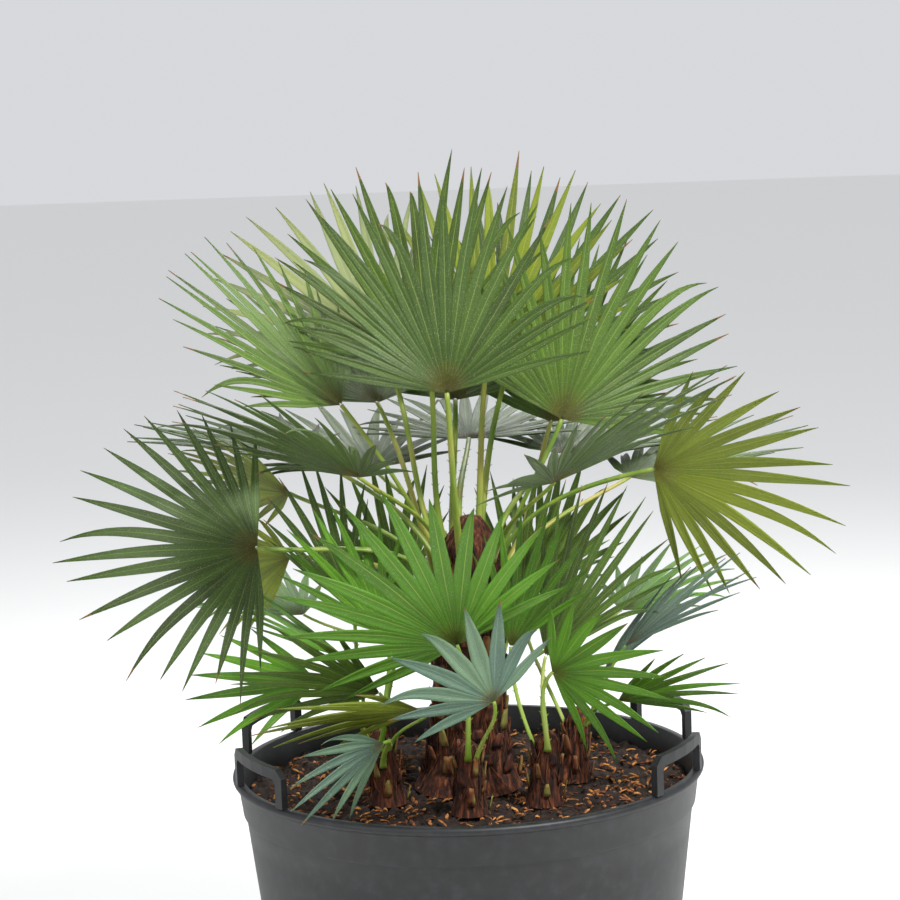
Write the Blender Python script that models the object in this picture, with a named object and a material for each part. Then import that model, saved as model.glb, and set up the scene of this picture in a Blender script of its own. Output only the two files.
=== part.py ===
"""European fan palm in a black nursery tub: one fibrous trunk, sucker stems and stiff fan-shaped fronds.

Metres, +Z up, origin at the centre of the tub's flat underside, the front of the plant toward -Y.
A frond is a petiole and a fan of pointed leaflets. Its foot sits on one flat side of a stem, a hair clear.
"""

import math
import random
from itertools import product
from typing import NamedTuple

import bmesh
import bpy
from mathutils import Vector
from mathutils.bvhtree import BVHTree

SEED = 7
CLEARANCE = 0.0003

TUB_HEIGHT = 0.500
TUB_RIM_RADIUS = 0.340
TUB_FOOT_RADIUS = 0.270
TUB_WALL = 0.004
TUB_FLOOR = 0.006
LIP_WIDTH = 0.010
LIP_HEIGHT = 0.014
BAND_DROP = 0.060
BAND_STEP = 0.004
TUB_SIDES = 48

SOIL_TOP = 0.465

HANDLE_BEARINGS = {
    "tub_handle_back_right": 27,
    "tub_handle_back_left": 153,
    "tub_handle_front_left": 207,
    "tub_handle_front_right": 333,
}
HANDLE_WIDTH = 0.160
HANDLE_RISE = 0.055
HANDLE_BAR = 0.015
HANDLE_DEPTH = 0.010
HANDLE_BEND = 0.012
HANDLE_STEPS = 4

TRUNK_SIDES = 12
TRUNK_LEAN = Vector((0.015, -0.010, 0.0))
TRUNK_RINGS = (
    (0.0003, 0.086),
    (0.035, 0.066),
    (0.095, 0.056),
    (0.155, 0.053),
    (0.195, 0.052),
    (0.235, 0.051),
    (0.275, 0.050),
    (0.315, 0.048),
    (0.355, 0.043),
    (0.400, 0.014),
)
TRUNK_FOOT_ROWS = (7, 6, 5, 4, 3)

SUCKER_SIDES = 10
SUCKER_RINGS = ((0.0003, 0.030), (0.022, 0.024), (0.046, 0.022), (0.070, 0.020), (0.094, 0.017), (0.108, 0.006))
SUCKER_FOOT_ROWS = (3, 2, 1)
SUCKER_PLACES = {
    "sucker_front": (0.000, -0.145),
    "sucker_front_right": (0.105, -0.110),
    "sucker_right": (0.150, 0.010),
    "sucker_back": (0.030, 0.150),
    "sucker_left": (-0.125, 0.060),
    "sucker_front_left": (-0.115, -0.080),
}

PETIOLE_WIDTH = 0.011
SUCKER_PETIOLE_WIDTH = 0.0077
PETIOLE_DEPTH = 0.007
PETIOLE_STEPS = 5
SPLIT = 0.40
WIDEST = 0.35
LEAFLET_WIDTH = 0.019
LEAFLET_THICKNESS = 0.0045
OUTER_LEAFLET = 0.62
FOLD = 0.12
TIP_SAG = 0.03

LEAFLET_TRIES = ((0, 1.0), (5, 1.0), (-5, 1.0), (10, 1.0), (-10, 1.0), (0, 0.85), (15, 0.9), (-15, 0.9), (0, 0.7), (0, 0.55), (0, 0.45))
TILTS = (0, 8, -8, 16, -16, 24, -24)
SHIFTS = (0.0, 0.02, -0.02, 0.045, -0.045)
BULGES = (0.0, 0.6, 1.4)
ANGLE_SCATTER = 0.1
SHORTEST = 0.93
ALTERNATE_TILT = 2


class Frond(NamedTuple):
    """A frond of the front view. Angles in degrees, as the front of the plant shows them.

    heading: of the middle leaflet, 0 to the right and 90 up. lean: toward the front. turn: of the blade about it.
    """

    name: str
    stem: str
    hub: tuple
    heading: float
    lean: float
    turn: float
    spread: float
    leaflets: int
    length: float


FRONDS = (
    Frond("frond_front_centre", "trunk", (-0.012, -0.12, 1.055), 93, -4, 0, 160, 20, 0.325),
    Frond("frond_left_middle", "trunk", (-0.135, -0.20, 0.955), 142, 28, -64, 160, 18, 0.300),
    Frond("frond_right_middle", "trunk", (0.130, -0.18, 0.935), 48, 41, 62, 150, 18, 0.320),
    Frond("frond_left_upper", "trunk", (-0.160, -0.06, 1.035), 133, -9, 66, 140, 18, 0.330),
    Frond("frond_right_upper", "trunk", (0.150, 0.00, 0.995), 68, -6, 20, 165, 20, 0.335),
    Frond("frond_far_left", "trunk", (-0.285, -0.08, 0.840), 172, 15, 35, 190, 20, 0.290),
    Frond("frond_far_right", "trunk", (0.275, -0.04, 0.925), -8, 15, 24, 160, 16, 0.280),
    Frond("frond_top_left", "trunk", (-0.035, 0.03, 1.065), 97, -3, 8, 140, 18, 0.335),
    Frond("frond_top_pale", "trunk", (-0.095, 0.06, 1.100), 122, -8, 16, 140, 18, 0.325),
    Frond("frond_top_right", "trunk", (0.045, 0.08, 1.055), 78, -10, -8, 130, 17, 0.340),
    Frond("frond_back_right", "trunk", (0.075, 0.13, 1.040), 60, -16, -12, 130, 16, 0.345),
    Frond("frond_left_back", "trunk", (-0.245, 0.07, 0.890), 165, -25, -50, 130, 14, 0.210),
    Frond("frond_left_low", "trunk", (-0.250, 0.10, 0.790), 205, -30, 40, 120, 12, 0.180),
    Frond("sucker_frond_front", "sucker_front", (-0.010, -0.22, 0.723), 124, 15, -15, 190, 15, 0.280),
    Frond("sucker_frond_blue", "sucker_front", (0.037, -0.25, 0.650), 125, 25, 0, 170, 9, 0.185),
    Frond("sucker_frond_low_right", "sucker_front_right", (0.120, -0.17, 0.668), 5, 25, 20, 170, 11, 0.180),
    Frond("sucker_frond_right_tall", "sucker_front_right", (0.115, -0.05, 0.663), 61, 0, 12, 80, 12, 0.285),
    Frond("sucker_frond_right_blue", "sucker_right", (0.232, 0.00, 0.663), 38, 5, 55, 80, 8, 0.230),
    Frond("sucker_frond_right_folded", "sucker_right", (0.200, 0.04, 0.615), 46, -8, 60, 70, 8, 0.220),
    Frond("sucker_frond_flat_left", "sucker_front_left", (-0.060, -0.20, 0.628), 180, 10, -60, 110, 8, 0.240),
    Frond("sucker_frond_spear", "sucker_left", (-0.168, -0.04, 0.668), 147, 5, 75, 46, 7, 0.220),
    Frond("sucker_frond_left", "sucker_front_left", (-0.120, -0.14, 0.640), 160, 12, -30, 95, 9, 0.220),
    Frond("sucker_frond_left_tall", "sucker_left", (-0.160, 0.02, 0.730), 108, 0, 20, 70, 9, 0.240),
    Frond("sucker_frond_behind_left", "sucker_left", (-0.090, 0.10, 0.731), 98, -8, 0, 90, 10, 0.220),
    Frond("sucker_frond_middle_right", "sucker_right", (0.085, 0.03, 0.706), 84, 0, 0, 90, 11, 0.230),
    Frond("sucker_frond_inner_left", "sucker_front_left", (-0.110, -0.04, 0.700), 118, 5, 10, 80, 9, 0.230),
    Frond("sucker_frond_inner_right", "sucker_front_right", (0.065, -0.10, 0.690), 75, 8, -10, 80, 9, 0.220),
    Frond("sucker_frond_low_left", "sucker_front_left", (-0.115, -0.22, 0.590), 205, 30, -30, 100, 7, 0.170),
    Frond("sucker_frond_low_side", "sucker_right", (0.215, -0.07, 0.600), 20, 20, 40, 90, 8, 0.190),
    Frond("sucker_frond_behind_right", "sucker_back", (0.120, 0.14, 0.720), 70, -15, 0, 90, 9, 0.220),
    Frond("sucker_frond_left_side", "sucker_left", (-0.215, 0.03, 0.620), 182, -5, 40, 100, 8, 0.200),
)


class Ring(NamedTuple):
    """A run of fronds round the far side, spaced evenly with a little scatter. Bearings from +X toward +Y."""

    name: str
    stem: str
    count: int
    first_bearing: float
    last_bearing: float
    reach: float
    height: float
    rise: float
    spread: float
    leaflets: int
    length: float


RINGS = (
    Ring("frond_back_low", "trunk", 5, 22, 150, 0.270, 0.900, 12, 165, 16, 0.280),
    Ring("frond_back_high", "trunk", 3, 50, 130, 0.190, 1.000, 42, 155, 17, 0.310),
    Ring("sucker_frond_back", "sucker_back", 4, 35, 145, 0.290, 0.690, 22, 140, 11, 0.210),
)
HUB_SCATTER = 0.012
RISE_SCATTER = 5


class Stem(NamedTuple):
    """A stem's rings of corners, and which of its flat sides already carry a foot."""

    rings: list
    rows: tuple
    taken: set


class Blade(NamedTuple):
    """A frond's place: hub, middle direction, side direction and the face that looks up the stem."""

    hub: Vector
    along: Vector
    side: Vector
    face: Vector


def material(name, rgb, roughness):
    """A plain principled material."""
    made = bpy.data.materials.new(name)
    made.use_nodes = True
    shader = made.node_tree.nodes["Principled BSDF"]
    shader.inputs["Base Color"].default_value = (*rgb, 1.0)
    shader.inputs["Roughness"].default_value = roughness
    shader.inputs["Metallic"].default_value = 0.0
    return made


def look_outward(mesh):
    """Turns all the faces of a closed mesh outward."""
    work = bmesh.new()
    work.from_mesh(mesh)
    bmesh.ops.recalc_face_normals(work, faces=work.faces)
    if work.calc_volume(signed=True) < 0:
        bmesh.ops.reverse_faces(work, faces=work.faces)
    work.to_mesh(mesh)
    work.free()


def add_object(name, points, faces, surface, smooth=False):
    """A named mesh object with one material."""
    mesh = bpy.data.meshes.new(name)
    mesh.from_pydata([tuple(point) for point in points], [], faces)
    mesh.materials.append(surface)
    mesh.polygons.foreach_set("use_smooth", [smooth] * len(mesh.polygons))
    look_outward(mesh)
    obj = bpy.data.objects.new(name, mesh)
    bpy.context.scene.collection.objects.link(obj)
    return obj


def around(radius, height, sides, centre=Vector((0, 0, 0))):
    """Corners of a level ring."""
    steps = (math.tau * i / sides for i in range(sides))
    return [centre + Vector((radius * math.cos(a), radius * math.sin(a), height)) for a in steps]


def loft(rings):
    """Points and faces of a closed solid through rings of equal size, with flat caps."""
    sides = len(rings[0])
    points = [point for ring in rings for point in ring]
    faces = [list(range(sides))[::-1]]
    for low in range(0, len(points) - sides, sides):
        for i in range(sides):
            j = (i + 1) % sides
            faces.append([low + i, low + j, low + sides + j, low + sides + i])
    faces.append(list(range(len(points) - sides, len(points))))
    return points, faces


def tub_radius(height):
    """The outside radius of the tub's wall at a height."""
    return TUB_FOOT_RADIUS + (TUB_RIM_RADIUS - LIP_WIDTH - TUB_FOOT_RADIUS) * height / TUB_HEIGHT


def build_tub(surface):
    """The tub turned from its section, with a flat underside, a stepped band and a rolled lip."""
    band = TUB_HEIGHT - BAND_DROP
    section = (
        (tub_radius(0), 0.0),
        (tub_radius(band), band),
        (tub_radius(band) + BAND_STEP, band + BAND_STEP),
        (tub_radius(TUB_HEIGHT - LIP_HEIGHT) + BAND_STEP, TUB_HEIGHT - LIP_HEIGHT),
        (TUB_RIM_RADIUS, TUB_HEIGHT - LIP_HEIGHT + BAND_STEP),
        (TUB_RIM_RADIUS, TUB_HEIGHT - BAND_STEP / 2),
        (TUB_RIM_RADIUS - BAND_STEP / 2, TUB_HEIGHT),
        (tub_radius(TUB_HEIGHT) - TUB_WALL, TUB_HEIGHT),
        (tub_radius(TUB_FLOOR) - TUB_WALL, TUB_FLOOR),
    )
    rings = [around(radius, height, TUB_SIDES) for radius, height in section]
    add_object("tub", *loft(rings), surface, True)


def build_soil(surface):
    """Compost that fills the tub to its top, a hair clear of the wall."""
    inset = TUB_WALL + 3 * CLEARANCE
    base = TUB_FLOOR + CLEARANCE
    rings = [around(tub_radius(z) - inset, z, TUB_SIDES) for z in (base, SOIL_TOP)]
    add_object("compost", *loft(rings), surface)


def build_handle(name, bearing, surface):
    """A moulded loop: two legs off the lip and a bar that follows the rim's curve."""
    middle = TUB_RIM_RADIUS - LIP_WIDTH / 2
    half = math.asin(HANDLE_WIDTH / 2 / middle)
    legs_top = TUB_HEIGHT + HANDLE_RISE
    foot = TUB_HEIGHT + CLEARANCE
    bend, bar = HANDLE_BEND / middle, HANDLE_BAR / middle
    outer = [(-half, foot), (-half, legs_top - HANDLE_BEND), (-half + bend, legs_top)]
    inner = [(-half + bar, foot), (-half + bar, legs_top - HANDLE_BAR - bend * middle / 2)]
    inner.append((-half + bar + bend / 2, legs_top - HANDLE_BAR))
    for i in range(1, HANDLE_STEPS):
        step = -half + bend + (2 * half - 2 * bend) * i / HANDLE_STEPS
        outer.append((step, legs_top))
        inner.append((step, legs_top - HANDLE_BAR))
    outer += [(-angle, height) for angle, height in outer[2::-1]]
    inner += [(-angle, height) for angle, height in inner[2::-1]]
    rings = []
    for (out_angle, out_height), (in_angle, in_height) in zip(outer, inner):
        ring = []
        for angle, height, depth in (
            (out_angle, out_height, -1),
            (out_angle, out_height, 1),
            (in_angle, in_height, 1),
            (in_angle, in_height, -1),
        ):
            radius = middle + depth * HANDLE_DEPTH / 2
            turned = math.radians(bearing) + angle
            ring.append(Vector((radius * math.cos(turned), radius * math.sin(turned), height)))
        rings.append(ring)
    points, faces = loft(rings)
    add_object(name, points, [face[::-1] for face in faces], surface)


def build_stem(name, centre, rings, sides, lean, rows, surface):
    """A tapered stem from its flat cut at the compost to its tip, made of flat-sided rings."""
    height = rings[-1][0]
    made = []
    for rise, radius in rings:
        shift = Vector((centre[0], centre[1], SOIL_TOP)) + lean * rise / height
        made.append(around(radius, rise, sides, shift))
    add_object(name, *loft(made), surface)
    return Stem(made, rows, set())


def foot_on(stem, toward):
    """The free flat side of a stem that looks most nearly at a point: its centre, outward and sideways axes."""
    sides = len(stem.rings[0])
    best = None
    for rank, row in enumerate(stem.rows):
        for i in range(sides):
            if (row, i) in stem.taken:
                continue
            low, high = stem.rings[row], stem.rings[row + 1]
            corners = (low[i], low[(i + 1) % sides], high[(i + 1) % sides], high[i])
            centre = sum(corners, Vector()) / len(corners)
            across = (corners[1] - corners[0]).normalized()
            up = (corners[3] + corners[2] - corners[0] - corners[1]).normalized()
            out = across.cross(up).normalized()
            reach = toward - centre
            level = Vector((reach.x, reach.y, 0)).normalized()
            score = out.dot(level) - 0.06 * rank
            if best is None or score > best[0]:
                best = (score, (row, i), centre + out * (CLEARANCE + 0.0001), out, across, up)
    stem.taken.add(best[1])
    return best[2:]


def petiole_rings(foot, blade, width, bulge):
    """Four-cornered rings from a flat foot on the stem to the hub, along a smooth curve."""
    centre, out, across, up = foot
    length = (blade.hub - centre).length
    leave = (out * 0.45 + Vector((0, 0, 1)) + out * bulge).normalized()
    arrive = (blade.along * 0.5 + (blade.hub - centre).normalized() * 0.5).normalized()
    ends = (centre, centre + leave * 0.36 * length, blade.hub - arrive * 0.34 * length, blade.hub)
    depth = PETIOLE_DEPTH * width / PETIOLE_WIDTH
    rings = [[centre + up * depth, centre - across * width / 2, centre - up * depth, centre + across * width / 2]]
    for step in range(1, PETIOLE_STEPS + 1):
        t = step / PETIOLE_STEPS
        weights = ((1 - t) ** 3, 3 * t * (1 - t) ** 2, 3 * t * t * (1 - t), t**3)
        point = sum((end * weight for end, weight in zip(ends, weights)), Vector())
        slope = (
            (ends[1] - ends[0]) * (1 - t) ** 2 + (ends[2] - ends[1]) * 2 * t * (1 - t) + (ends[3] - ends[2]) * t * t
        ).normalized()
        side = (across * (1 - t) + blade.side * t * (1 if blade.side.dot(across) >= 0 else -1)).normalized()
        side = (side - slope * side.dot(slope)).normalized()
        top = side.cross(slope)
        if top.dot(up - out) < 0 and t < 0.3:
            top = -top
        half = width / 2 * (1 - 0.35 * t)
        rise = depth / 2 * (1 - 0.2 * t)
        rings.append([point + top * rise, point - side * half, point - top * rise, point + side * half])
    return rings


def leaflet_length(length, spread, angle):
    """The outer leaflets are the shorter ones."""
    return length * (1 - (1 - OUTER_LEAFLET) * abs(2 * angle / spread) ** 2)


def on_blade(blade, angle, radius, lift):
    """A point of the fan at an angle and radius from its hub, lifted off its plane."""
    a = math.radians(angle)
    return blade.hub + (blade.along * math.cos(a) + blade.side * math.sin(a)) * radius + blade.face * lift


def leaflet_points(blade, angle, gap, length, tilt, share):
    """Left, right, top, bottom and tip of one leaflet's free part, tilted off the fan by some degrees."""
    rise = math.sin(math.radians(tilt))
    full = length * share
    widest = SPLIT * length + (full - SPLIT * length) * WIDEST
    half = min(LEAFLET_WIDTH, 0.95 * math.radians(gap) * SPLIT * length) / 2
    wide = math.degrees(half / widest)
    lift = widest * rise * 0.6
    rib = lift - FOLD * LEAFLET_WIDTH
    return (
        on_blade(blade, angle - wide, widest, lift),
        on_blade(blade, angle + wide, widest, lift),
        on_blade(blade, angle, widest, rib + LEAFLET_THICKNESS / 2),
        on_blade(blade, angle, widest, rib - LEAFLET_THICKNESS / 2),
        on_blade(blade, angle, full, full * rise) - Vector((0, 0, TIP_SAG * full)),
    )


def tree_of(points, faces):
    """A search tree of one solid."""
    return BVHTree.FromPolygons(points, faces)


def clear_of(tree, placed):
    """Whether a solid's surface crosses none of those already there."""
    return not any(tree.overlap(other) for other in placed)


def blade_core(blade, spread, leaflets, length, rings):
    """The undivided part of a frond, its petiole and hub, as one search tree."""
    points, faces = loft(rings)
    start = len(points)
    points += [blade.hub, *(notches(blade, spread, leaflets, length))]
    faces += [(start, start + i, start + i + 1) for i in range(1, leaflets + 1)]
    return tree_of(points, faces)


def notches(blade, spread, leaflets, length):
    """Where the leaflets part from each other, and the two ends of the fan."""
    made = []
    for i in range(leaflets + 1):
        angle = spread * (i / leaflets - 0.5)
        made.append(on_blade(blade, angle, SPLIT * leaflet_length(length, spread, angle), 0))
    return made


def leaflet_tree(blade, before, after, parts):
    """A leaflet as a slightly fat closed shape, so that a clear one keeps its distance."""
    left, right, top, bottom, tip = parts
    grow = CLEARANCE * 2
    points = [
        blade.hub.lerp(before, 0.2),
        before,
        after,
        left + (left - right).normalized() * grow,
        right + (right - left).normalized() * grow,
        top + blade.face * grow,
        bottom - blade.face * grow,
        tip,
    ]
    faces = [(0, 1, 5), (0, 5, 2), (0, 6, 1), (0, 2, 6), (1, 3, 5), (2, 5, 4), (1, 6, 3), (2, 4, 6)]
    faces += [(3, 7, 5), (5, 7, 4), (3, 6, 7), (6, 4, 7)]
    return tree_of(points, faces)


def frond_mesh(blade, rings, edge, leaves):
    """One closed body of petiole, hub and leaflets. Each leaflet has a rib above and below and one sharp tip."""
    points, faces = loft(rings)
    faces.pop()
    corners = range(len(points) - 4, len(points))
    bottom, top = sorted((corners[0], corners[2]), key=lambda i: points[i].dot(blade.face))
    right, left = sorted((corners[1], corners[3]), key=lambda i: points[i].dot(blade.side))
    first = len(points)
    points += edge
    for i, (l_side, r_side, rib_top, rib_bottom, tip) in enumerate(leaves):
        s, e = first + i, first + i + 1
        base = len(points)
        points += [l_side, r_side, rib_top, rib_bottom, tip]
        lp, rp, mt, mb, tp = range(base, base + 5)
        upper = [(top, s, mt), (top, mt, e), (s, lp, mt), (mt, rp, e), (lp, tp, mt), (mt, tp, rp)]
        lower = [(bottom, mb, s), (bottom, e, mb), (s, mb, lp), (mb, e, rp), (lp, mb, tp), (mb, rp, tp)]
        faces += [face[::-1] for face in upper + lower]
    last = first + len(edge) - 1
    faces += [(top, right, first), (right, bottom, first), (top, last, left), (left, last, bottom)]
    return points, faces


def turned(blade, tilt, shift):
    """The blade tilted about its side axis, its hub moved along its face."""
    a = math.radians(tilt)
    along = blade.along * math.cos(a) + blade.face * math.sin(a)
    return Blade(blade.hub + blade.face * shift, along, blade.side, along.cross(blade.side))


def clear_leaves(blade, spread, leaflets, length, placed, rng):
    """Each leaflet at its first clear place: as drawn, then tilted, then shorter. None where one finds no place."""
    edge = notches(blade, spread, leaflets, length)
    gap = spread / leaflets
    leaves = []
    for i in range(leaflets):
        angle = spread * ((i + 0.5) / leaflets - 0.5) + rng.uniform(-ANGLE_SCATTER, ANGLE_SCATTER) * gap
        reach = leaflet_length(length, spread, angle) * rng.uniform(SHORTEST, 1.0)
        for tilt, share in LEAFLET_TRIES:
            parts = leaflet_points(blade, angle, gap, reach, tilt + ALTERNATE_TILT * (i % 2), share)
            if clear_of(leaflet_tree(blade, edge[i], edge[i + 1], parts), placed):
                leaves.append(parts)
                break
        else:
            return edge, None
    return edge, leaves


def grow_frond(name, stem, blade, spread, leaflets, length, width, surface, placed, rng):
    """Seats a frond on its stem, turned and shifted until it is clear of everything before it."""
    foot = foot_on(stem, blade.hub)
    seed = rng.random()
    for tilt, shift, bulge in product(TILTS, SHIFTS, BULGES):
        trial = turned(blade, tilt, shift)
        rings = petiole_rings(foot, trial, width, bulge)
        if not clear_of(blade_core(trial, spread, leaflets, length, rings), placed):
            continue
        edge, leaves = clear_leaves(trial, spread, leaflets, length, placed, random.Random(seed))
        if leaves is None:
            continue
        points, faces = frond_mesh(trial, rings, edge, leaves)
        add_object(name, points, faces, surface)
        placed.append(tree_of(points, faces))
        return
    print("no room for", name)


def blade_from_view(row):
    """A blade from its heading, lean and turn as the front shows them."""
    heading, lean, turn = map(math.radians, (row.heading, row.lean, row.turn))
    along = Vector((math.cos(heading) * math.cos(lean), -math.sin(lean), math.sin(heading) * math.cos(lean)))
    level = Vector((-math.sin(heading), 0, math.cos(heading)))
    side = level * math.cos(turn) + along.cross(level) * math.sin(turn)
    return Blade(Vector(row.hub), along, side, along.cross(side))


def blades_of(ring, rng):
    """Blades of one run round the far side, each looking outward and up."""
    for i in range(ring.count):
        share = i / max(ring.count - 1, 1)
        bearing = math.radians(ring.first_bearing + (ring.last_bearing - ring.first_bearing) * share)
        rise = math.radians(ring.rise + rng.uniform(-RISE_SCATTER, RISE_SCATTER))
        out = Vector((math.cos(bearing), math.sin(bearing), 0))
        hub = out * ring.reach + Vector((0, 0, ring.height + rng.uniform(-HUB_SCATTER, HUB_SCATTER)))
        along = out * math.cos(rise) + Vector((0, 0, math.sin(rise)))
        side = Vector((-math.sin(bearing), math.cos(bearing), 0))
        yield Blade(hub, along, side, along.cross(side))


def main():
    """Builds the tub, the compost, the stems and then every frond in order."""
    for obj in list(bpy.data.objects):
        bpy.data.objects.remove(obj)
    rng = random.Random(SEED)
    plastic = material("black_plastic", (0.020, 0.021, 0.023), 0.45)
    earth = material("compost", (0.035, 0.020, 0.012), 0.95)
    fibre = material("trunk_fibre", (0.090, 0.035, 0.016), 0.90)
    green = material("leaf_green", (0.060, 0.130, 0.020), 0.55)
    young = material("young_leaf_green", (0.100, 0.260, 0.020), 0.50)

    build_tub(plastic)
    build_soil(earth)
    for name, bearing in HANDLE_BEARINGS.items():
        build_handle(name, bearing, plastic)
    stems = {"trunk": build_stem("trunk", (0, 0), TRUNK_RINGS, TRUNK_SIDES, TRUNK_LEAN, TRUNK_FOOT_ROWS, fibre)}
    for name, place in SUCKER_PLACES.items():
        lean = Vector((place[0], place[1], 0)) * 0.08
        stems[name] = build_stem(name, place, SUCKER_RINGS, SUCKER_SIDES, lean, SUCKER_FOOT_ROWS, fibre)

    placed = []
    for obj in bpy.data.objects:
        placed.append(tree_of([v.co for v in obj.data.vertices], [tuple(p.vertices) for p in obj.data.polygons]))

    for of_trunk, width, surface in ((True, PETIOLE_WIDTH, green), (False, SUCKER_PETIOLE_WIDTH, young)):
        seat = width, surface, placed, rng
        for row in FRONDS:
            if (row.stem == "trunk") == of_trunk:
                size = row.spread, row.leaflets, row.length
                grow_frond(row.name, stems[row.stem], blade_from_view(row), *size, *seat)
        for ring in RINGS:
            if (ring.stem == "trunk") == of_trunk:
                size = ring.spread, ring.leaflets, ring.length
                for i, blade in enumerate(blades_of(ring, rng), 1):
                    grow_frond(f"{ring.name}_{i}", stems[ring.stem], blade, *size, *seat)


main()
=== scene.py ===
"""European fan palm in a black nursery tub, dressed over its CAD frame.

The fronds follow the source's own rule: the same table, the same order of draws and the same turned places,
of which the one that the frame's solid holds is taken. Metres, +Z up, the front of the plant toward -Y.
"""

import logging
import math
import random
from dataclasses import dataclass, field
from enum import Enum
from itertools import product
from typing import Callable, Iterator, NamedTuple, Sequence, Union

import bpy
import numpy as np
from mathutils import Matrix, Vector
from mathutils.kdtree import KDTree

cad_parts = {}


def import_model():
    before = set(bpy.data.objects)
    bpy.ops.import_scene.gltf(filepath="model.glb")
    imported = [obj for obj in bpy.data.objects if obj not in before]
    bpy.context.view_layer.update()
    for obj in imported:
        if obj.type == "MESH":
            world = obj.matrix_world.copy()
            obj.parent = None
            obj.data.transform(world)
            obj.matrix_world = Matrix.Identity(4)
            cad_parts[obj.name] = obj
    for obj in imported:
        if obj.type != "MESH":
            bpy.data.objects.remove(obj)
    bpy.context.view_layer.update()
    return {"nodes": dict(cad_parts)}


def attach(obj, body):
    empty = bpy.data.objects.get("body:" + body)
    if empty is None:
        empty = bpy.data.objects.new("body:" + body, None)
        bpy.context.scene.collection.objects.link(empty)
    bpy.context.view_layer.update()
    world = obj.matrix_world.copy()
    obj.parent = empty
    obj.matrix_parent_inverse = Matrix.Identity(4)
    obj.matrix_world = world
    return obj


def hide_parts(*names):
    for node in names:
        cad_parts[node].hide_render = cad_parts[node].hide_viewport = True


log = logging.getLogger("scene")

Colour = tuple[float, float, float, float]
Socket = bpy.types.NodeSocket
Term = Union[Socket, float]
Input = Union[Socket, float, Colour]
Axis = Callable[[np.ndarray], np.ndarray]

SEED = 7

# The source's sizes, from which the fronds grow
CLEARANCE = 0.0003
PETIOLE_WIDTH = 0.011
SUCKER_PETIOLE_WIDTH = 0.0077
PETIOLE_DEPTH = 0.007
PETIOLE_STEPS = 5
SPLIT = 0.40
OUTER_LEAFLET = 0.62
TIP_SAG = 0.03
LEAFLET_TRIES = (
    (0, 1.0), (5, 1.0), (-5, 1.0), (10, 1.0), (-10, 1.0), (0, 0.85),
    (15, 0.9), (-15, 0.9), (0, 0.7), (0, 0.55), (0, 0.45),
)
TILTS = (0, 8, -8, 16, -16, 24, -24)
SHIFTS = (0.0, 0.02, -0.02, 0.045, -0.045)
BULGES = (0.0, 0.6, 1.4)
ANGLE_SCATTER = 0.1
SHORTEST = 0.93
ALTERNATE_TILT = 2
HUB_SCATTER = 0.012
RISE_SCATTER = 5
SAME_PLACE = 0.0001
FOOT_GAP = CLEARANCE + 0.0001
FOOT_ROW_COST = 0.06
PETIOLE_LEAVE_OUT = 0.45
PETIOLE_LEAVE = 0.36
PETIOLE_ARRIVE = 0.34
PETIOLE_NARROWING = 0.35
PETIOLE_THINNING = 0.2

# The tub's and the stems' sizes, as in the source
TUB_HEIGHT = 0.500
TUB_RIM_RADIUS = 0.340
TUB_FOOT_RADIUS = 0.270
TUB_WALL = 0.004
TUB_FLOOR = 0.006
LIP_WIDTH = 0.010
LIP_HEIGHT = 0.014
BAND_DROP = 0.060
BAND_STEP = 0.004
SOIL_TOP = 0.465
TRUNK_LEAN = (0.015, -0.010)
TRUNK_RINGS = (
    (0.0003, 0.086), (0.035, 0.066), (0.095, 0.056), (0.155, 0.053), (0.195, 0.052),
    (0.235, 0.051), (0.275, 0.050), (0.315, 0.048), (0.355, 0.043), (0.400, 0.014),
)
TRUNK_SIDES = 12
TRUNK_FOOT_ROWS = (7, 6, 5, 4, 3)
SUCKER_RINGS = (
    (0.0003, 0.030), (0.022, 0.024), (0.046, 0.022), (0.070, 0.020), (0.094, 0.017), (0.108, 0.006),
)
SUCKER_SIDES = 10
SUCKER_FOOT_ROWS = (3, 2, 1)
SUCKER_LEAN = 0.08
SUCKER_PLACES = {
    "sucker_front": (0.000, -0.145),
    "sucker_front_right": (0.105, -0.110),
    "sucker_right": (0.150, 0.010),
    "sucker_back": (0.030, 0.150),
    "sucker_left": (-0.125, 0.060),
    "sucker_front_left": (-0.115, -0.080),
}


class Kind(Enum):
    """The leaf colours, by age, by which face shows and by painted light: the yellow kind is a painted sunlit
    highlight on the green, and the deep kind is the tops' own deep green, also used as painted shade. Each
    holds a top colour, rib colour and dry-tip share.
    """

    DEEP = ("#34521a", "#8a9c4a", 0.30)
    MIDDLE = ("#46681e", "#98ac52", 0.25)
    BRIGHT = ("#4c8a12", "#a9c552", 0.08)
    YELLOW = ("#768a20", "#b4ba58", 0.20)
    PALE = ("#859462", "#aeb288", 0.15)
    BLUE = ("#587868", "#8ba38f", 0.10)


DEEP, MIDDLE, BRIGHT, YELLOW, PALE, BLUE = Kind


class Frond(NamedTuple):
    """A frond of the front view: its stem, hub, angles in degrees, size and leaf colour.

    The name is the node's, less the prefix that its stem gives.
    """

    name: str
    stem: str
    hub: tuple[float, float, float]
    heading: float
    lean: float
    turn: float
    spread: float
    leaflets: int
    length: float
    kind: Kind


# Fronds of the yellow kind carry a painted sunlit highlight; on the front centre frond the deep kind is
# painted shade over its underside.
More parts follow.
